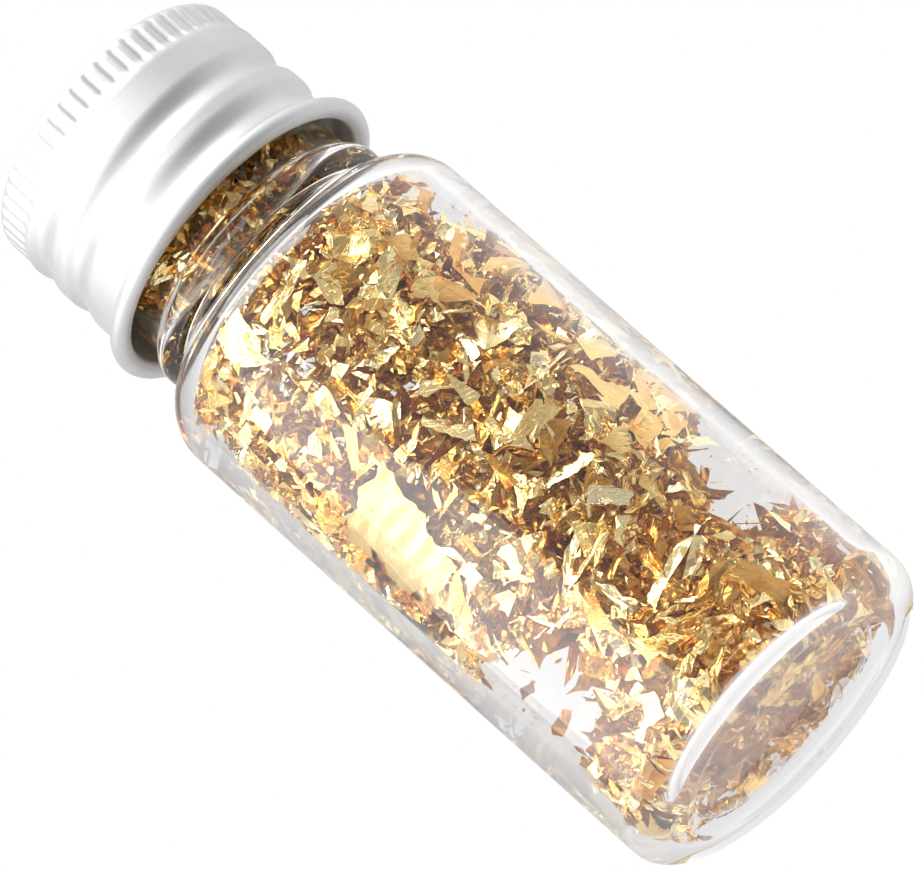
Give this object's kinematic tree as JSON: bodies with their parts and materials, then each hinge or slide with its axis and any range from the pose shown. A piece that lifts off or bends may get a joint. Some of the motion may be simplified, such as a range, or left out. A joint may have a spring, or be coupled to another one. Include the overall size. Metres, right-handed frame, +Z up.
{
  "type": "gold leaf sample vial",
  "caption": "Clear glass screw-neck vial of gold leaf flakes, closed by a knurled aluminium cap that unscrews and lifts clear.",
  "frame": {"origin": "centre of the ring that the vial stands on, at the floor", "axes": "+Z up the vial's axis from the base to the cap; -Y towards the side with the broadest leaf"},
  "size_m": [0.022, 0.022, 0.055],
  "materials": {
    "clear_glass": "clear, polished",
    "satin_aluminium": "satin, lightly brushed round the axis",
    "white_foam": "matte closed-cell foam",
    "gold_leaf": "bright crumpled leaf",
    "gold_flakes": "bright crumpled flakes"
  },
  "bodies": {
    "vial": {"glass_vial": "clear_glass", "broad_leaf": "gold_leaf", "shoulder_leaf": "gold_leaf", "pale_leaf": "gold_leaf", "long_leaf": "gold_leaf", "centre_leaf": "gold_leaf", "folded_leaf": "gold_leaf", "back_leaf": "gold_leaf", "side_leaf": "gold_leaf", "low_leaf": "gold_leaf", "base_flakes": "gold_flakes", "lower_flakes": "gold_flakes", "middle_flakes": "gold_flakes", "upper_flakes": "gold_flakes", "shoulder_flakes": "gold_flakes", "neck_flakes": "gold_flakes", "lower_crumbs": "gold_flakes", "middle_crumbs": "gold_flakes", "upper_crumbs": "gold_flakes"},
    "liner": {"cap_liner": "white_foam"},
    "cap": {"screw_cap": "satin_aluminium"}
  },
  "joints": [
    {"name": "cap_rise", "type": "slide", "parent": "vial", "child": "liner", "axis": [0, 0, 1], "range_m": [0, 0.0135]},
    {"name": "cap_turn", "type": "hinge", "parent": "liner", "child": "cap", "pos_m": [0, 0, 0.05], "axis": [0, 0, 1], "range_deg": [0, 1620]}
  ],
  "couplings": [
    {"joint": "cap_turn", "follows": "cap_rise", "rad_per_m": 2094.4}
  ]
}
